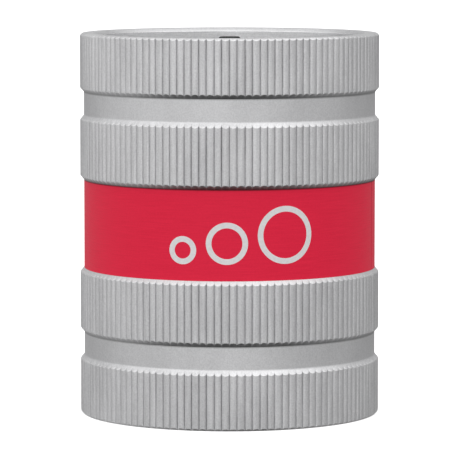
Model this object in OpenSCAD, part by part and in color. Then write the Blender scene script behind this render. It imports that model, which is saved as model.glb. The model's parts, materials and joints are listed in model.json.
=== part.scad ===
// Two-ended pipe deburring tool for round pipes of 10 to 54 mm outer diameter.
// The cone end, at the top, trims the inner edge of a pipe. The funnel end, at the
// bottom, trims the outer edge. Three fixed blades do both jobs.
// Origin: centre of the bottom rim. +Z runs up the axis towards the cone end.

/* [Housing] */
// Outer diameter over the grip flutes
body_d = 70; // [70:0.5:74]
// Overall length between the two rims
body_h = 89; // [87:0.5:94]
// Bore at the cone end
bore_d = 62; // [61:0.25:62.5]
// Bore at the funnel end, which leaves a shoulder for the carrier
funnel_bore_d = 60; // [59:0.25:60.5]
// Chamfer at the mouth of each bore
mouth_chamfer = 0.8; // [0.4:0.1:1]
// Chamfer on the outer corner of each rim
rim_chamfer = 0.5; // [0.3:0.05:0.6]

/* [Grip bands] */
// Width of the fluted band at each end
end_band_w = 12.65; // [10:0.05:13]
// Width of each fluted band beside the label
inner_band_w = 13; // [11:0.1:14]
// Width of the flat floor of each plain groove
groove_w = 5.5; // [4:0.1:6]
// Height of the bands above the groove floors
band_step = 0.9; // [0.7:0.05:1.1]
// Axial length of the chamfer that ends a band
edge_run = 1; // [0.8:0.1:1.2]
// Number of flutes around a band
flute_count = 125; // [100:1:140]
// Depth of a flute
flute_depth = 0.55; // [0.25:0.05:0.65]
// Share of the flute pitch that the groove takes up
flute_share = 0.5; // [0.3:0.02:0.6]

/* [Label] */
// Thickness of the wrapped label
label_t = 0.2; // [0.1:0.05:0.3]
// Gap between the two ends of the label
label_gap = 0.25; // [0.1:0.05:0.5]
// Direction of that gap around the body
label_gap_angle = -14.5; // [-20:0.5:20]

/* [Blades] */
// Thickness of a blade
blade_t = 3; // [2.5:0.25:3.5]
// Radius of the outer edge of a blade
blade_r = 28.5; // [27.5:0.25:28.75]
// Depth of the blade tips below the upper rim
tip_depth = 1.8; // [1.4:0.1:3]
// Height of the funnel mouth above the lower rim
mouth_depth = 11.5; // [9:0.5:12]
// Angle of the ground face behind each cutting edge
relief_angle = 25; // [15:1:35]

/* [Carrier] */
// Inner radius of the carrier ring
ring_inner_r = 25.5; // [25:0.25:26]
// Height of the carrier, which is also its depth along the axis
carrier_h = 17; // [16:0.5:18]
// Thickness of the two cheeks that hold a blade
cheek_t = 3.5; // [3:0.25:3.75]
// Radius of the hub
hub_r = 6.5; // [6:0.25:6.75]

/* [Core pin] */
// Diameter of the pin between the blades
pin_d = 5; // [4.6:0.1:5.2]
// Depth of the pin's flat end below the upper rim
pin_depth = 0.9; // [0.6:0.05:1.2]
// Rounding of the corner at that end
pin_round = 0.4; // [0.2:0.1:0.8]
// Diameter of the pin where it passes through the hub
pin_shank_d = 4; // [3.6:0.1:4.2]

/* [Hidden] */
$fn = 96;

// Names of the fasteners at each blade
SPOTS = ["inner", "outer"];

// How far a cutting shape reaches past the face that it cuts
past = 1;

// Housing
body_r = body_d / 2;
groove_r = body_r - band_step;
bore_r = bore_d / 2;
funnel_bore_r = funnel_bore_d / 2;
mid_z = body_h / 2;
seat_r = groove_r - label_t;
// Widths of the fluted bands with their chamfers, and the distance from a rim to an inner band
end_band_full = end_band_w + edge_run;
inner_band_full = inner_band_w + 2 * edge_run;
inner_band_z = end_band_full + groove_w;
label_w = body_h - 2 * (inner_band_z + inner_band_full);

// Carrier: it stands on the shoulder between the two bores
shoulder_drop = 7;
shoulder_z = mid_z - shoulder_drop;
carrier_top = shoulder_z + carrier_h;
carrier_gap = 0.05;
carrier_chamfer = 0.6;
// The slots run a little into the hub, so that a blade never rubs on its flank
slot_relief = 0.5;

// Blades: both cutting edges lie at 45 degrees to the axis
BLADE_ANGLES = [90, 210, 330];
between_blades = 60;
tip_z = body_h - tip_depth;
pin_r = pin_d / 2;
cone_base_z = tip_z - (blade_r - pin_r);
// The funnel edge reaches in to just under the radius of the smallest pipe
funnel_inner_r = 4.8;
funnel_inner_z = mouth_depth + blade_r - funnel_inner_r;

// Fasteners: M4 throughout, with plain shanks in place of the threads
thread_d = 4;
clear_d = 4.3;
// Distance from the axis and height of the two screws of a blade
SCREW_SPOTS = [[11.5, mid_z + 5.5], [19, mid_z - 2.5]];
screw_len = 12;
cap_d = 7;
cap_h = 4;
cap_socket = 3;
socket_depth = 2;
washer_t = 0.9;
washer_gap = 0.8;
cheek_y = blade_t / 2 + cheek_t;
sink_d = 7.6;
sink_h = 1.9;
sink_socket = 2.5;
sink_socket_depth = 1.2;
// The label's seat is round, so the flat screw heads sit a little below its crown
sink_recess = 0.3;
sink_r = seat_r - sink_recess;
carrier_screw_len = sink_r - ring_inner_r;

// Core pin
pin_top = body_h - pin_depth;
round_steps = 8;
pin_tail = 1.6;
pin_bottom = shoulder_z - pin_tail;
clip_t = 0.7;
clip_r = 3.6;
clip_groove_r = 1.6;
clip_gap = 2;

// Outline of the fluted bands: the bottom of each flute, and the point outside the body
// where the flanks of two flutes meet. The envelope of a band cuts that point to a land.
function polar(r, a) = [r * cos(a), r * sin(a)];
flute_pitch = 360 / flute_count;
flute_bottom_r = body_r - flute_depth;
flank_rise = flute_depth / flute_share;
flute_outline = [
  for (i = [0 : flute_count - 1])
    for (p = [[flute_bottom_r, 0], [flute_bottom_r + flank_rise, 0.5]])
      polar(p[0], -90 + (i + p[1]) * flute_pitch)
];

// A ring with its own profile, given as points of radius and height
module turned(points) {
  rotate_extrude() polygon(points);
}

// Envelope of a band from z0 up, with the corner sizes [radial, axial] of its two ends
module band_envelope(z0, width, low, high) {
  turned([
    [bore_r, z0],
    [body_r - low[0], z0],
    [body_r, z0 + low[1]],
    [body_r, z0 + width - high[1]],
    [body_r - high[0], z0 + width],
    [bore_r, z0 + width]
  ]);
}

module fluted_band(z0, width, low, high) {
  intersection() {
    band_envelope(z0, width, low, high);
    translate([0, 0, z0 - past])
      linear_extrude(height = width + 2 * past) polygon(flute_outline);
  }
}

module on_carrier_screw_axes() {
  for (a = BLADE_ANGLES)
    rotate([0, 0, a + between_blades]) translate([0, 0, mid_z]) rotate([0, 90, 0]) children();
}

module housing_tube() {
  seat_low = mid_z - label_w / 2;
  seat_high = mid_z + label_w / 2;
  inner_r = funnel_bore_r - past;
  turned([
    [inner_r, rim_chamfer],
    [groove_r, rim_chamfer],
    [groove_r, seat_low],
    [seat_r, seat_low],
    [seat_r, seat_high],
    [groove_r, seat_high],
    [groove_r, body_h - rim_chamfer],
    [inner_r, body_h - rim_chamfer]
  ]);
}

module housing_bores() {
  turned([
    [0, -past],
    [funnel_bore_r + mouth_chamfer + past, -past],
    [funnel_bore_r, mouth_chamfer],
    [funnel_bore_r, shoulder_z],
    [bore_r, shoulder_z],
    [bore_r, body_h - mouth_chamfer],
    [bore_r + mouth_chamfer + past, body_h + past],
    [0, body_h + past]
  ]);
}

module housing() {
  rim = [rim_chamfer, rim_chamfer];
  step = [band_step, edge_run];
  color("silver")
    difference() {
      union() {
        housing_tube();
        fluted_band(0, end_band_full, rim, step);
        fluted_band(inner_band_z, inner_band_full, step, step);
        fluted_band(body_h - inner_band_z - inner_band_full, inner_band_full, step, step);
        fluted_band(body_h - end_band_full, end_band_full, step, rim);
      }
      housing_bores();
      on_carrier_screw_axes() {
        cylinder(d = clear_d, h = body_r);
        translate([0, 0, sink_r - sink_h]) cylinder(d1 = thread_d, d2 = sink_d, h = sink_h);
        translate([0, 0, sink_r]) cylinder(d = sink_d, h = body_r - sink_r + past);
      }
    }
}

module label_band() {
  gap_deg = label_gap / groove_r * 180 / PI;
  color("crimson")
    rotate([0, 0, label_gap_angle + gap_deg / 2])
      translate([0, 0, mid_z - label_w / 2])
        rotate_extrude(angle = 360 - gap_deg)
          translate([seat_r, 0]) square([label_t, label_w]);
}

// Axis of one of the two screws that clamp a blade, square to the blade
module at_blade_screw(spot) {
  translate([spot[0], 0, spot[1]]) rotate([-90, 0, 0]) children();
}

// Plan of the carrier: ring, hub and three slotted arms
module carrier_plan() {
  arm_w = 2 * cheek_y;
  difference() {
    union() {
      difference() {
        circle(r = bore_r - carrier_gap);
        circle(r = ring_inner_r);
      }
      circle(r = hub_r);
      for (a = BLADE_ANGLES)
        rotate(a) translate([hub_r / 2, -arm_w / 2]) square([ring_inner_r - hub_r / 2 + past, arm_w]);
    }
    circle(d = pin_shank_d);
    for (a = BLADE_ANGLES)
      rotate(a)
        translate([hub_r - slot_relief, -blade_t / 2])
          square([blade_r - hub_r + slot_relief, blade_t]);
  }
}

module carrier_envelope() {
  ring_r = bore_r - carrier_gap;
  turned([
    [0, shoulder_z],
    [ring_r - carrier_chamfer, shoulder_z],
    [ring_r, shoulder_z + carrier_chamfer],
    [ring_r, carrier_top - carrier_chamfer],
    [ring_r - carrier_chamfer, carrier_top],
    [0, carrier_top]
  ]);
}

module blade_carrier() {
  color("darkgray")
    difference() {
      intersection() {
        translate([0, 0, shoulder_z]) linear_extrude(height = carrier_h) carrier_plan();
        carrier_envelope();
      }
      for (a = BLADE_ANGLES)
        rotate([0, 0, a])
          for (spot = SCREW_SPOTS)
            at_blade_screw(spot) {
              cylinder(d = clear_d, h = cheek_y + past);
              translate([0, 0, -cheek_y - past]) cylinder(d = thread_d, h = cheek_y + past);
            }
      on_carrier_screw_axes()
        translate([0, 0, ring_inner_r - past]) cylinder(d = thread_d, h = bore_r);
    }
}

// Grinds a face back from the 45 degree edge through [r, z], on its upper or lower side
module edge_grind(r, z, upper) {
  reach = body_h;
  turn = upper ? 45 : 225;
  translate([r, 0, z])
    rotate([0, turn, 0])
      translate([0, -blade_t / 2, 0])
        rotate([-relief_angle, 0, 0])
          translate([-reach, -reach / 4, 0])
            cube([2 * reach, reach, reach / 4]);
}

module blade(n) {
  color("gainsboro")
    rotate([0, 0, BLADE_ANGLES[n - 1]])
      difference() {
        translate([0, blade_t / 2, 0])
          rotate([90, 0, 0])
            linear_extrude(height = blade_t)
              polygon([
                [blade_r, mouth_depth],
                [blade_r, cone_base_z],
                [pin_r, tip_z],
                [pin_r, carrier_top],
                [hub_r, carrier_top],
                [hub_r, shoulder_z],
                [funnel_inner_r, shoulder_z],
                [funnel_inner_r, funnel_inner_z]
              ]);
        edge_grind(pin_r, tip_z, true);
        edge_grind(blade_r, mouth_depth, false);
        for (spot = SCREW_SPOTS)
          at_blade_screw(spot) translate([0, 0, -blade_t]) cylinder(d = clear_d, h = 2 * blade_t);
      }
}

// A hexagonal hole of the given width across its flats
module hex_socket(flats, depth) {
  cylinder(d = flats / cos(30), h = depth, $fn = 6);
}

module blade_screw(n, place) {
  color("dimgray")
    rotate([0, 0, BLADE_ANGLES[n - 1]])
      at_blade_screw(SCREW_SPOTS[place])
        translate([0, 0, cheek_y + washer_t])
          difference() {
            union() {
              translate([0, 0, -screw_len]) cylinder(d = thread_d, h = screw_len + past);
              cylinder(d = cap_d, h = cap_h);
            }
            translate([0, 0, cap_h - socket_depth])
              hex_socket(cap_socket, socket_depth + past);
          }
}

module lock_washer(n, place) {
  color("lightgray")
    rotate([0, 0, BLADE_ANGLES[n - 1]])
      at_blade_screw(SCREW_SPOTS[place])
        translate([0, 0, cheek_y])
          difference() {
            cylinder(d = cap_d, h = washer_t);
            translate([0, 0, -past]) cylinder(d = clear_d, h = washer_t + 2 * past);
            translate([0, -washer_gap / 2, -past]) cube([cap_d, washer_gap, washer_t + 2 * past]);
          }
}

module core_pin() {
  shank_r = pin_shank_d / 2;
  clip_z = shoulder_z - clip_t;
  flat_r = pin_r - pin_round;
  rounded_end = [
    for (i = [0 : round_steps])
      let (a = 90 * i / round_steps)
        [flat_r + pin_round * sin(a), pin_top - pin_round * (1 - cos(a))]
  ];
  color("black")
    turned(concat([[0, pin_top]], rounded_end, [
      [pin_r, carrier_top],
      [shank_r, carrier_top],
      [shank_r, shoulder_z],
      [clip_groove_r, shoulder_z],
      [clip_groove_r, clip_z],
      [shank_r, clip_z],
      [shank_r, pin_bottom],
      [0, pin_bottom]
    ]));
}

module core_pin_clip() {
  color("dimgray")
    translate([0, 0, shoulder_z - clip_t])
      difference() {
        cylinder(r = clip_r, h = clip_t);
        translate([0, 0, -past]) cylinder(r = clip_groove_r, h = clip_t + 2 * past);
        translate([0, -clip_gap / 2, -past]) cube([clip_r + past, clip_gap, clip_t + 2 * past]);
      }
}

module carrier_screw(n) {
  color("dimgray")
    rotate([0, 0, BLADE_ANGLES[n - 1] + between_blades])
      translate([0, 0, mid_z])
        rotate([0, 90, 0])
          difference() {
            union() {
              translate([0, 0, sink_r - carrier_screw_len])
                cylinder(d = thread_d, h = carrier_screw_len);
              translate([0, 0, sink_r - sink_h])
                cylinder(d1 = thread_d, d2 = sink_d, h = sink_h);
            }
            translate([0, 0, sink_r - sink_socket_depth])
              hex_socket(sink_socket, sink_socket_depth + past);
          }
}

housing();
label_band();
blade_carrier();
for (n = [1 : 3]) {
  blade(n);
  for (place = [0, 1]) {
    blade_screw(n, place);
    lock_washer(n, place);
  }
  carrier_screw(n);
}
core_pin();
core_pin_clip();
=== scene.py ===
import json
import math
import random

import bpy
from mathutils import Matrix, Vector


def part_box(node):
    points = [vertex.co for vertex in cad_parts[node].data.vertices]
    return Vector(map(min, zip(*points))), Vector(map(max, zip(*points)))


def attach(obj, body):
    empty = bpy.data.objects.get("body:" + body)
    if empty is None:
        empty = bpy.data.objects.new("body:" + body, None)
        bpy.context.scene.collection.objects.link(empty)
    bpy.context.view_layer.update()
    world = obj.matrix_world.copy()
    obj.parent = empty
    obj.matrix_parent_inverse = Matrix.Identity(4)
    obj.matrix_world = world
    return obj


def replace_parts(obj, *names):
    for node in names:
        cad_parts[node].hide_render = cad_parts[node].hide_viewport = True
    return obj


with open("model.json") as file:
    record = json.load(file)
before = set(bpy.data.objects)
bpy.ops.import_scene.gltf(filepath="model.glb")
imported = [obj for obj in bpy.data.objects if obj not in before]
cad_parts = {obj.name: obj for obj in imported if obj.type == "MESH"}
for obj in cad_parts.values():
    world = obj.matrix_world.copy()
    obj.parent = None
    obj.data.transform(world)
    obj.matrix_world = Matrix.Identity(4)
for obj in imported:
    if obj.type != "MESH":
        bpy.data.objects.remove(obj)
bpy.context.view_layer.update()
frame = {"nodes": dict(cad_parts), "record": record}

MM = 0.001

# ---------------------------------------------------------------- sizes, in millimetres
body_low, body_high = [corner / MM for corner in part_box("housing")]
label_low, label_high = [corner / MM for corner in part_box("label_band")]
carrier_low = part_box("blade_carrier")[0] / MM

body_r = (body_high.x - body_low.x) / 2
body_h = body_high.z
label_r = label_high.y
label_t = 0.2
seat_r = label_r - label_t
shoulder_z = carrier_low.z

# The sleeve's section, as in the CAD model
bore_r = 31
funnel_bore_r = 30
mouth_chamfer = 0.8
rim_chamfer = 0.5
# The rim keeps this much of its chamfer where a valley is deeper than the chamfer
least_rim_chamfer = 0.05
end_band_w = 12.65
inner_band_w = 13
groove_w = 5.5
band_step = body_r - label_r
edge_run = 1
flute_count = 125
flute_depth = 0.55

# Points across a reed, and the power of the curve that rounds it, where 2 is an ellipse
reed_samples = 10
reed_power = 2.0
# How far from a corner its painted shadow, or the smooth shading of its fillet, fades out
shade_reach = 0.35
fillet_reach = 0.35
# How far from a corner its cut begins, for worn edges and for the foot of an upward chamfer
CORNER_CUTS = {"eased": 0.07, "filleted": 0.22}
# A cut takes up no more than this share of the shorter side
largest_cut = 0.35
# Strength of the painted shadow in the corners under a downward chamfer, at a groove and at the
# label
CORNER_SHADES = {"shaded": 0.6, "deep": 1.0}

# Faces that meet at more than this angle, in degrees, have a sharp edge between them
sharp_angle = 32
# Bevels on the CAD nodes that stay, and the angle in degrees from which an edge gets one
bevel_w = 0.12
bevel_angle = 35


# ---------------------------------------------------------------- mesh helpers
def make_piece(name, points, faces, material):
    """A smooth mesh piece from points in millimetres, riding on the one body."""
    mesh = bpy.data.meshes.new(name)
    mesh.from_pydata([[c * MM for c in p] for p in points], [], faces)
    mesh.validate()
    mesh.shade_smooth()
    mesh.set_sharp_from_angle(angle=math.radians(sharp_angle))
    mesh.materials.append(material)
    piece = bpy.data.objects.new(name, mesh)
    bpy.context.scene.collection.objects.link(piece)
    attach(piece, "root")
    return piece


def eased_loop(corners):
    """Cuts the marked corners of a closed outline. Each corner is (radius, height, kind).

    Returns points as (radius, height, kind): an "eased" corner becomes a "facet" point and an
    "end" point, with the worn facet between them, a "filleted" corner becomes two "end" points
    further apart, and any other corner keeps its kind.
    """
    outline = []
    for i, (r, z, kind) in enumerate(corners):
        if kind not in CORNER_CUTS:
            outline.append((r, z, kind))
            continue
        first = "facet" if kind == "eased" else "end"
        for j, part in ((i - 1, first), ((i + 1) % len(corners), "end")):
            dr, dz = corners[j][0] - r, corners[j][1] - z
            length = max(math.hypot(dr, dz), 1e-9)
            cut = min(CORNER_CUTS[kind], largest_cut * length) / length
            outline.append((r + dr * cut, z + dz * cut, part))
    return outline


def set_values(piece, name, values, domain="POINT"):
    """Stores one number per point or face, for the materials to read."""
    layer = piece.data.attributes.new(name, "FLOAT", domain)
    layer.data.foreach_set("value", values)


# ---------------------------------------------------------------- material helpers
# Sockets of a Mix node that mixes colours
MIX_FIRST, MIX_SECOND, MIX_RESULT = 6, 7, 2


class Surface:
    """A principled material and the few node patterns that the surfaces share."""

    def __init__(self, name, color, metallic, roughness):
        self.material = bpy.data.materials.new(name)
        self.material.use_nodes = True
        self.tree = self.material.node_tree
        self.shader = self.tree.nodes["Principled BSDF"]
        self.shader.inputs["Base Color"].default_value = (*color, 1)
        self.shader.inputs["Metallic"].default_value = metallic
        self.shader.inputs["Roughness"].default_value = roughness
        self.place = self.node("ShaderNodeTexCoord").outputs["Object"]

    def node(self, kind, **settings):
        made = self.tree.nodes.new(kind)
        for key, value in settings.items():
            setattr(made, key, value)
        return made

    def link(self, source, target):
        self.tree.links.new(source, target)

    def stretched(self, per_mm):
        """Object coordinates times the given counts per millimetre along X, Y and Z."""
        scale = self.node("ShaderNodeMapping", vector_type="POINT")
        scale.inputs["Scale"].default_value = [n / MM for n in per_mm]
        self.link(self.place, scale.inputs["Vector"])
        return scale.outputs["Vector"]

    def noise(self, per_mm, detail=2, roughness=0.5):
        pattern = self.node("ShaderNodeTexNoise")
        pattern.inputs["Scale"].default_value = 1
        pattern.inputs["Detail"].default_value = detail
        pattern.inputs["Roughness"].default_value = roughness
        self.link(self.stretched(per_mm), pattern.inputs["Vector"])
        return pattern.outputs["Fac"]

    def ranged(self, value, low, high, from_low=0.3, from_high=0.7):
        remap = self.node("ShaderNodeMapRange")
        remap.inputs["From Min"].default_value = from_low
        remap.inputs["From Max"].default_value = from_high
        remap.inputs["To Min"].default_value = low
        remap.inputs["To Max"].default_value = high
        self.link(value, remap.inputs["Value"])
        return remap.outputs["Result"]

    def math(self, operation, a, b):
        step = self.node("ShaderNodeMath", operation=operation)
        for socket, value in zip(step.inputs, (a, b)):
            if isinstance(value, (int, float)):
                socket.default_value = value
            else:
                self.link(value, socket)
        return step.outputs[0]

    def attribute(self, name):
        return self.node("ShaderNodeAttribute", attribute_name=name).outputs["Fac"]

    def tint(self, factor, dark, light):
        """Colour between dark and light by the factor, into the base colour."""
        mix = self.node("ShaderNodeMix", data_type="RGBA")
        self.link(factor, mix.inputs["Factor"])
        mix.inputs[MIX_FIRST].default_value = (*dark, 1)
        mix.inputs[MIX_SECOND].default_value = (*light, 1)
        self.link(mix.outputs[MIX_RESULT], self.shader.inputs["Base Color"])
        return mix.outputs[MIX_RESULT]

    def shade(self, color, amount, level):
        """Multiplies the base colour by the given level where the amount is 1."""
        mix = self.node("ShaderNodeMix", data_type="RGBA", blend_type="MULTIPLY")
        self.link(amount, mix.inputs["Factor"])
        self.link(color, mix.inputs[MIX_FIRST])
        mix.inputs[MIX_SECOND].default_value = (level, level, level, 1)
        self.link(mix.outputs[MIX_RESULT], self.shader.inputs["Base Color"])
        return mix.outputs[MIX_RESULT]

    def roughen(self, value):
        self.link(value, self.shader.inputs["Roughness"])

    def bump(self, heights):
        """Adds up (value, height in millimetres) pairs as relief."""
        normal = None
        for value, height in heights:
            relief = self.node("ShaderNodeBump")
            relief.inputs["Strength"].default_value = 1
            relief.inputs["Distance"].default_value = height * MM
            self.link(value, relief.inputs["Height"])
            if normal is not None:
                self.link(normal, relief.inputs["Normal"])
            normal = relief.outputs["Normal"]
        self.link(normal, self.shader.inputs["Normal"])


def blasted_aluminium():
    """Fine blasted and clear anodised: drawn lines along the reeds, turned lines in the bores.

    The valleys carry painted shade and the corners below the bands painted shadow, the rims are
    darker, and worn edges lighter.
    """
    s = Surface("blasted_aluminium", (0.74, 0.74, 0.75), 1.0, 0.45)
    grain = s.noise((3.0, 3.0, 3.0), detail=3, roughness=0.6)
    mottle = s.noise((0.9, 0.9, 0.9), detail=3, roughness=0.6)
    cloud = s.noise((0.09, 0.09, 0.05), detail=2)
    drawn = s.noise((3.0, 3.0, 0.12), detail=2)
    turned = s.noise((0.15, 0.15, 7.0), detail=2)
    edge = s.attribute("edge_wear")
    painted_valley_shade = s.attribute("painted_valley_shade")
    reeds = s.attribute("on_reeds")
    bore = s.attribute("on_bore")
    tone = s.math("ADD", s.ranged(grain, 0.22, 0.58), s.ranged(mottle, -0.05, 0.05))
    tone = s.math("ADD", tone, s.ranged(cloud, -0.08, 0.12))
    tone = s.math("ADD", tone, s.math("MULTIPLY", s.ranged(drawn, -0.14, 0.14), reeds))
    tone = s.math("ADD", tone, s.math("MULTIPLY", s.attribute("reed_tone"), 0.06))
    tone = s.math("ADD", tone, s.math("MULTIPLY", s.ranged(turned, 0.15, 0.55), bore))
    tone = s.math("ADD", tone, s.math("MULTIPLY", edge, 0.25))
    color = s.tint(tone, (0.54, 0.54, 0.55), (0.94, 0.94, 0.95))
    # Painted shade along the reed valleys
    color = s.shade(color, painted_valley_shade, 0.92)
    color = s.shade(color, s.attribute("on_rim"), 0.93)
    # Painted shadow in the corners below the bands
    s.shade(color, s.attribute("corner_shade"), 0.25)
    rough = s.math("ADD", s.ranged(grain, 0.40, 0.52), s.math("MULTIPLY", edge, -0.08))
    s.roughen(s.math("SUBTRACT", rough, s.math("MULTIPLY", bore, 0.10)))
    s.bump([(grain, 0.012), (s.math("MULTIPLY", turned, bore), 0.004)])
    return s.material


def label_red():
    """Satin printed film with a faint sideways grain, and painted shadow along its top edge."""
    s = Surface("label_red", (0.88, 0.017, 0.06), 0.0, 0.45)
    s.shader.inputs["Specular IOR Level"].default_value = 0.16
    streak = s.noise((0.15, 0.15, 6.0), detail=3, roughness=0.6)
    speck = s.noise((2.5, 2.5, 2.5), detail=2)
    tone = s.math("ADD", s.ranged(streak, 0.2, 0.7), s.ranged(speck, -0.12, 0.12))
    color = s.tint(tone, (0.80, 0.014, 0.052), (0.95, 0.024, 0.074))
    # Painted shadow along the top edge, under the band above
    s.shade(color, s.attribute("corner_shade"), 0.3)
    s.roughen(s.ranged(speck, 0.36, 0.5))
    s.bump([(streak, 0.004), (speck, 0.003)])
    return s.material


def label_print():
    """Pale grey ink, a little uneven."""
    s = Surface("label_print", (0.84, 0.82, 0.83), 0.0, 0.5)
    speck = s.noise((1.8, 1.8, 1.8), detail=3)
    s.tint(s.ranged(speck, 0.0, 1.0), (0.80, 0.78, 0.79), (0.89, 0.87, 0.88))
    s.roughen(s.ranged(speck, 0.42, 0.58))
    s.bump([(speck, 0.002)])
    return s.material


def machined_aluminium():
    """Milled plate stock: fine parallel tool marks and a soft cloud."""
    s = Surface("machined_aluminium", (0.56, 0.56, 0.58), 1.0, 0.36)
    marks = s.noise((0.25, 5.5, 0.6), detail=3, roughness=0.65)
    cloud = s.noise((0.12, 0.12, 0.12), detail=2)
    tone = s.math("ADD", s.ranged(marks, 0.2, 0.7), s.ranged(cloud, -0.1, 0.15))
    s.tint(tone, (0.44, 0.44, 0.46), (0.68, 0.68, 0.70))
    s.roughen(s.ranged(marks, 0.30, 0.44))
    s.bump([(marks, 0.008)])
    return s.material


def blade_steel():
    """Hardened steel with grinding lines along the blade."""
    s = Surface("blade_steel", (0.52, 0.52, 0.53), 1.0, 0.28)
    lines = s.noise((0.5, 0.5, 7.0), detail=3, roughness=0.6)
    stain = s.noise((0.18, 0.18, 0.18), detail=3)
    tone = s.math("ADD", s.ranged(lines, 0.2, 0.8), s.ranged(stain, -0.2, 0.1))
    s.tint(tone, (0.44, 0.44, 0.45), (0.70, 0.70, 0.71))
    s.roughen(s.math("ADD", s.ranged(lines, 0.20, 0.32), s.ranged(stain, -0.03, 0.06)))
    s.bump([(lines, 0.004)])
    return s.material


def black_steel(name, gloss):
    """Black oxide with rubbed spots, on the screws and, with less gloss, on the pin."""
    s = Surface(name, (0.03, 0.03, 0.03), 0.0, 0.5)
    s.shader.inputs["Specular IOR Level"].default_value = gloss
    rub = s.noise((0.9, 0.9, 0.9), detail=4, roughness=0.65)
    s.tint(s.ranged(rub, 0.0, 1.0, 0.35, 0.85), (0.012, 0.012, 0.013), (0.06, 0.06, 0.06))
    s.roughen(s.ranged(rub, 0.34, 0.52))
    s.bump([(rub, 0.005)])
    return s.material


def zinc_steel():
    """Thin zinc plate, slightly blue, with a dull cloud."""
    s = Surface("zinc_steel", (0.58, 0.60, 0.63), 1.0, 0.33)
    cloud = s.noise((1.1, 1.1, 1.1), detail=4)
    s.tint(s.ranged(cloud, 0.0, 1.0), (0.46, 0.48, 0.51), (0.66, 0.68, 0.70))
    s.roughen(s.ranged(cloud, 0.26, 0.42))
    s.bump([(cloud, 0.004)])
    return s.material


MATERIALS = {
    "blasted_aluminium": blasted_aluminium(),
    "label_red": label_red(),
    "label_print": label_print(),
    "machined_aluminium": machined_aluminium(),
    "blade_steel": blade_steel(),
    "black_steel": black_steel("black_steel", 0.45),
    "dull_black_steel": black_steel("dull_black_steel", 0.07),
    "zinc_steel": zinc_steel(),
}


# ---------------------------------------------------------------- housing
# How much a valley may stray sideways, as a share of the pitch, and the least share of its depth
valley_stray = 0.05
least_valley = 0.82
# How far a reed's crown may lean to one side or lie lower
most_lean = 0.03
most_sink = 0.03
# Points further out than this belong to a band
reed_foot_r = label_r + 0.05
# More than any eased corner's cut
rim_margin = 0.1


def reed_directions():
    """Direction in degrees, drop below the crest, painted shade for the valleys and tone, all
    around the body.

    The body carries rounded reeds that meet in narrow, sharp valleys. Like rolled reeds, they
    differ a little in width, lean, height and tone.
    """
    chance = random.Random(7)
    pitch = 360 / flute_count
    valleys = [i + chance.uniform(-valley_stray, valley_stray) for i in range(flute_count)]
    valleys.append(valleys[0] + flute_count)
    valley_drops = [flute_depth * chance.uniform(least_valley, 1.0) for _ in range(flute_count)]
    valley_drops.append(valley_drops[0])
    for i in range(flute_count):
        lean = chance.uniform(-most_lean, most_lean)
        sink = chance.uniform(0.0, most_sink)
        tone = chance.uniform(-1, 1)
        for k in range(reed_samples):
            phase = math.radians(-90 + 180 * k / reed_samples)
            across = math.sin(phase)
            depth = valley_drops[i] if across < 0 else valley_drops[i + 1]
            fall = 1 - (1 - abs(across) ** reed_power) ** (1 / reed_power)
            drop = depth * fall
            if k:
                drop = max(0.0, drop + sink * (1 - fall) + lean * across * (1 - fall))
            share = (1 + across) / 2
            place = valleys[i] * (1 - share) + valleys[i + 1] * share
            # The third value is painted shade, strongest at the valleys
            yield -90 + place * pitch, drop, fall ** 3, tone


def on_rim_corner(corner):
    """Whether an outline point lies on a rim or on a mouth chamfer, eased corners included."""
    r, z, _ = corner
    return r < body_r - rim_chamfer + rim_margin and min(z, body_h - z) < mouth_chamfer + rim_margin


def housing_corners(drop):
    """Corners of the housing's section where the bands lie this far below their crest."""
    reed_r = body_r - drop
    groove_r = label_r
    rim_r = min(body_r - rim_chamfer, reed_r - least_rim_chamfer)
    inner_z = end_band_w + edge_run + groove_w
    inner_top = inner_z + inner_band_w + 2 * edge_run
    rise = edge_run * (reed_r - groove_r) / band_step
    groove_low, groove_high = end_band_w + edge_run, inner_z
    # The shaded corners, and the two corners above the label, carry painted shadow under the
    # downward chamfers
    lower_half = [
        (rim_r, 0, "eased"),
        (reed_r, reed_r - rim_r, "eased"),
        (reed_r, groove_low - rise, "eased"),
        (groove_r, groove_low, "filleted"),
        (groove_r, groove_low + fillet_reach, "plain"),
        (groove_r, groove_high - shade_reach, "plain"),
        (groove_r, groove_high, "shaded"),
        (reed_r, inner_z + rise, "eased"),
        (reed_r, inner_top - rise, "eased"),
        (groove_r, inner_top, "plain"),
        (seat_r, inner_top, "plain"),
    ]
    upper_half = [
        (seat_r, body_h - inner_top, "deep"),
        (groove_r, body_h - inner_top, "deep"),
        (reed_r, body_h - inner_top + rise, "eased"),
        (reed_r, body_h - inner_z - rise, "eased"),
        (groove_r, body_h - groove_high, "filleted"),
        (groove_r, body_h - groove_high + fillet_reach, "plain"),
        (groove_r, body_h - groove_low - shade_reach, "plain"),
        (groove_r, body_h - groove_low, "shaded"),
        (reed_r, body_h - groove_low + rise, "eased"),
        (reed_r, body_h - reed_r + rim_r, "eased"),
        (rim_r, body_h, "eased"),
    ]
    bores = [
        (bore_r + mouth_chamfer, body_h, "eased"),
        (bore_r, body_h - mouth_chamfer, "eased"),
        (bore_r, shoulder_z, "plain"),
        (funnel_bore_r, shoulder_z, "eased"),
        (funnel_bore_r, mouth_chamfer, "eased"),
        (funnel_bore_r + mouth_chamfer, 0, "eased"),
    ]
    return lower_half + upper_half + bores


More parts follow.
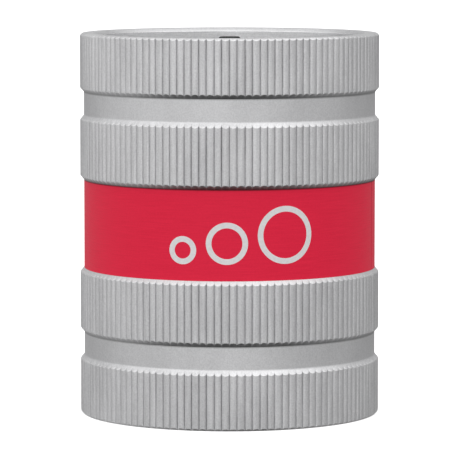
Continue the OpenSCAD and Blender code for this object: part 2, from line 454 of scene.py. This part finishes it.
def build_housing():
    """The sleeve: one outline of its section in each direction, joined by quads."""
    points, painted_valley_shade, corner_shade, reed_tone, on_reeds = [], [], [], [], []
    outline = []
    for direction, drop, reed_valley_shade, tone in reed_directions():
        a = math.radians(direction)
        outline = eased_loop(housing_corners(drop))
        for r, z, kind in outline:
            is_reed = r > reed_foot_r
            points.append((r * math.cos(a), r * math.sin(a), z))
            # Painted shade along the reed valleys
            painted_valley_shade.append(reed_valley_shade if is_reed else 0.0)
            # Painted shadow in the corners under the downward chamfers
            corner_shade.append(CORNER_SHADES.get(kind, 0.0))
            reed_tone.append(tone if is_reed else 0.0)
            on_reeds.append(float(is_reed))
    size = len(outline)
    columns = len(points) // size
    bore_limit = bore_r + CORNER_CUTS["eased"]
    faces, edge_wear, on_bore, on_rim = [], [], [], []
    for c in range(columns):
        here, there = c * size, (c + 1) % columns * size
        for k in range(size):
            n = (k + 1) % size
            faces.append((here + k, there + k, there + n, here + n))
            edge_wear.append(float(outline[k][2] == "facet"))
            on_bore.append(float(max(outline[k][0], outline[n][0]) < bore_limit))
            on_rim.append(float(on_rim_corner(outline[k]) and on_rim_corner(outline[n])))
    slot = "blasted_aluminium"
    piece = make_piece("housing_sleeve", points, faces, MATERIALS[slot])
    set_values(piece, "edge_wear", edge_wear, "FACE")
    set_values(piece, "painted_valley_shade", painted_valley_shade)
    set_values(piece, "corner_shade", corner_shade)
    set_values(piece, "reed_tone", reed_tone)
    set_values(piece, "on_reeds", on_reeds)
    set_values(piece, "on_bore", on_bore, "FACE")
    set_values(piece, "on_rim", on_rim, "FACE")
    # Keeps the long faces evenly shaded right up to their eased corners
    flatten = piece.modifiers.new("even_shading", "WEIGHTED_NORMAL")
    flatten.mode = "FACE_AREA"
    flatten.keep_sharp = True
    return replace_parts(piece, "housing")


# ---------------------------------------------------------------- label and its print
label_gap = 0.25
label_gap_direction = -14.5
label_ease = 0.05
# The print's top stands proud of the label, and its underside is sunk into it
print_lift = 0.02
print_sink = 0.01
# Offset of the print to the right of the middle, along the surface
print_shift = 2.8


def on_label(along, z, lift=0.0):
    """A point on the label, given the distance along it from the front and the height."""
    a = math.radians(-90) + along / label_r
    return ((label_r + lift) * math.cos(a), (label_r + lift) * math.sin(a), z)


def build_label():
    """The film: wrapped round the seat from one side of its gap to the other."""
    steps = 720
    half_gap = math.degrees(label_gap / 2 / label_r)
    low, high = label_low.z, label_high.z
    outline = [
        (seat_r, low),
        (label_r - label_ease, low),
        (label_r, low + label_ease),
        (label_r, high - shade_reach),
        (label_r, high - label_ease),
        (label_r - label_ease, high),
        (seat_r, high),
    ]
    points, faces = [], []
    for i in range(steps + 1):
        turn = half_gap + (360 - 2 * half_gap) * i / steps
        a = math.radians(label_gap_direction + turn)
        points += [(r * math.cos(a), r * math.sin(a), z) for r, z in outline]
    n = len(outline)
    for i in range(steps):
        for k in range(n):
            m = (k + 1) % n
            faces.append((i * n + k, i * n + n + k, i * n + n + m, i * n + m))
    faces.append(tuple(range(n)))
    faces.append(tuple(reversed(range(steps * n, steps * n + n))))
    piece = make_piece("label_film", points, faces, MATERIALS["label_red"])
    # Painted shadow along the top edge, where the band above overhangs the film
    set_values(piece, "corner_shade", [float(z > high - 2 * label_ease) for _, _, z in points])
    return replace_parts(piece, "label_band")


def build_print():
    """Three rings of growing size: small, medium and large pipe ends on one base line."""
    stroke = 1.3
    gap = 2.2
    radii = [3.2, 4.8, 6.6]
    steps = 96
    base = (label_low.z + label_high.z) / 2 - radii[-1]
    total = 2 * sum(radii) + gap * (len(radii) - 1)
    left = print_shift - total / 2
    points, faces = [], []
    for radius in radii:
        centre, height = left + radius, base + radius
        left += 2 * radius + gap
        first = len(points)
        for i in range(steps):
            a = 2 * math.pi * i / steps
            for r, lift in (
                (radius - stroke, -print_sink),
                (radius - stroke, print_lift),
                (radius, print_lift),
                (radius, -print_sink),
            ):
                points.append(on_label(centre + r * math.cos(a), height + r * math.sin(a), lift))
        for i in range(steps):
            here, there = first + 4 * i, first + 4 * ((i + 1) % steps)
            for k in range(4):
                m = (k + 1) % 4
                faces.append((here + k, here + m, there + m, there + k))
    return make_piece("label_rings_print", points, faces, MATERIALS["label_print"])


# ---------------------------------------------------------------- the other CAD nodes
def dress_nodes():
    """Gives each CAD node that stays its material, and small bevels to catch the light."""
    finishes = {row["node"]: row["material_slot"] for row in frame["record"]["subparts"]}
    finishes["core_pin"] = "dull_black_steel"
    for name, piece in frame["nodes"].items():
        if name in ("housing", "label_band"):
            continue
        material = MATERIALS[finishes[name]]
        if not piece.material_slots:
            piece.data.materials.append(material)
        for place in piece.material_slots:
            place.material = material
        bevel = piece.modifiers.new("small_edges", "BEVEL")
        bevel.width = bevel_w * MM
        bevel.segments = 2
        bevel.limit_method = "ANGLE"
        bevel.angle_limit = math.radians(bevel_angle)


# ---------------------------------------------------------------- stage
# Brightness of the studio by direction, as (position, level) from -1 to 1 along an axis.
# The walls are AROUND_UP times AROUND_BACK times AROUND_RIGHT. The ceiling and the pale floor
# behind the tool, FLOOR_UP times FLOOR_BACK times FLOOR_RIGHT, are added.
AROUND_UP = [
    (-1.0, 0.02),
    (-0.85, 0.03),
    (-0.6, 0.04),
    (-0.42, 0.08),
    (0.0, 0.89),
    (0.3, 1.24),
    (0.55, 1.0),
    (1.0, 0.6),
]
AROUND_BACK = [(-1.0, 1.06), (-0.4, 0.99), (-0.1, 0.87), (0.3, 0.68), (0.7, 0.5), (1.0, 0.46)]
AROUND_RIGHT = [(-1.0, 1.06), (-0.7, 1.06), (0.0, 1.0), (0.8, 0.86), (1.0, 0.8)]
CEILING_UP = [(0.3, 0.0), (0.47, 0.0), (0.63, 0.24), (0.75, 0.48), (0.9, 0.5), (1.0, 0.38)]
FLOOR_UP = [(-1.0, 0.12), (-0.93, 0.46), (-0.7, 0.56), (-0.35, 0.3), (-0.1, 0.0)]
FLOOR_BACK = [(-0.1, 0.0), (0.15, 0.95), (0.6, 0.74), (1.0, 0.7)]
FLOOR_RIGHT = [(-1.0, 1.35), (-0.3, 1.35), (0.0, 1.1), (0.4, 0.85), (1.0, 0.8)]


def add_stage(name, points, faces, glow):
    """A pale surface, not part of the object, that the object's surfaces don't reflect."""
    mesh = bpy.data.meshes.new(name)
    mesh.from_pydata(points, [], faces)
    s = Surface("pale_" + name, (0.92, 0.92, 0.92), 0.0, 0.9)
    s.shader.inputs["Emission Color"].default_value = (1, 1, 1, 1)
    s.shader.inputs["Emission Strength"].default_value = glow
    s.shader.inputs["Specular IOR Level"].default_value = 0
    mesh.materials.append(s.material)
    surface = bpy.data.objects.new(name, mesh)
    bpy.context.scene.collection.objects.link(surface)
    surface.visible_glossy = False
    surface.visible_diffuse = False
    return surface


def square(reach, height):
    """Corners of a level square around the origin, in metres."""
    corners = [(-reach, -reach), (reach, -reach), (reach, reach), (-reach, reach)]
    return [(x, y, height) for x, y in corners]


def build_stage():
    """A floor, and four pale walls that hide its horizon and let all light through."""
    floor_reach, wall_reach, wall_h = 12, 3.5, 1.5
    add_stage("floor", square(floor_reach, 0), [(0, 1, 2, 3)], 0.5)
    sides = [(i, (i + 1) % 4, (i + 1) % 4 + 4, i + 4) for i in range(4)]
    walls = add_stage("backdrop", square(wall_reach, 0) + square(wall_reach, wall_h), sides, 1.0)
    walls.visible_shadow = False


def build_world():
    """A soft studio by direction: bright above and in front, dimmer behind, dark below."""
    world = bpy.data.worlds.new("soft_studio")
    world.use_nodes = True
    bpy.context.scene.world = world
    tree = world.node_tree
    background = tree.nodes["Background"]
    place = tree.nodes.new("ShaderNodeTexCoord")
    split = tree.nodes.new("ShaderNodeSeparateXYZ")
    tree.links.new(place.outputs["Generated"], split.inputs["Vector"])

    def ramp(axis, stops):
        """Brightness along one axis of the direction, from stops of (position, level)."""
        remap = tree.nodes.new("ShaderNodeMapRange")
        remap.inputs["From Min"].default_value = -1
        remap.inputs["From Max"].default_value = 1
        levels = tree.nodes.new("ShaderNodeValToRGB")
        while len(levels.color_ramp.elements) < len(stops):
            levels.color_ramp.elements.new(0.5)
        for element, (position, level) in zip(levels.color_ramp.elements, stops):
            element.position = (position + 1) / 2
            element.color = (level, level, level, 1)
        tree.links.new(split.outputs[axis], remap.inputs["Value"])
        tree.links.new(remap.outputs["Result"], levels.inputs["Fac"])
        return levels.outputs["Color"]

    def combine(blend, first, second):
        mix = tree.nodes.new("ShaderNodeMix")
        mix.data_type = "RGBA"
        mix.blend_type = blend
        mix.inputs["Factor"].default_value = 1
        tree.links.new(first, mix.inputs[MIX_FIRST])
        tree.links.new(second, mix.inputs[MIX_SECOND])
        return mix.outputs[MIX_RESULT]

    walls = combine("MULTIPLY", ramp("Z", AROUND_UP), ramp("Y", AROUND_BACK))
    walls = combine("MULTIPLY", walls, ramp("X", AROUND_RIGHT))
    floor = combine("MULTIPLY", ramp("Z", FLOOR_UP), ramp("Y", FLOOR_BACK))
    floor = combine("MULTIPLY", floor, ramp("X", FLOOR_RIGHT))
    total = combine("ADD", combine("ADD", walls, ramp("Z", CEILING_UP)), floor)
    tree.links.new(total, background.inputs["Color"])
    background.inputs["Strength"].default_value = 1


def add_softbox(name, place, size, power):
    """A square area light that faces the middle of the tool, in metres and watts."""
    light = bpy.data.lights.new(name, "AREA")
    light.size = size
    light.energy = power
    lamp = bpy.data.objects.new(name, light)
    lamp.location = place
    aim = Vector((0, 0, body_h / 2 * MM)) - Vector(place)
    lamp.rotation_euler = aim.to_track_quat("-Z", "Y").to_euler()
    bpy.context.scene.collection.objects.link(lamp)


def build_camera():
    """A long lens in front of the tool, tilted down.

    Places are in metres, the tilt is in degrees, and the lens and sensor are in millimetres.
    """
    distance, height, aside, tilt, lens = 0.8581, 0.1221, 0.0001, 5.288, 287.12
    camera = bpy.data.cameras.new("camera")
    camera.sensor_width = 36
    camera.lens = lens
    camera.clip_start = 0.01
    camera.clip_end = 100
    viewer = bpy.data.objects.new("camera", camera)
    viewer.location = (aside, -distance, height)
    viewer.rotation_euler = (math.radians(90 - tilt), 0, 0)
    bpy.context.scene.collection.objects.link(viewer)
    bpy.context.scene.camera = viewer


build_housing()
build_label()
build_print()
dress_nodes()
build_stage()
build_world()
add_softbox("key_above", (0.6, -0.3, 1.4), 1.8, 3.0)
add_softbox("fill_front", (-0.12, -1.5, 0.3), 0.6, 0.35)
build_camera()
bpy.context.scene.view_settings.view_transform = "Standard"
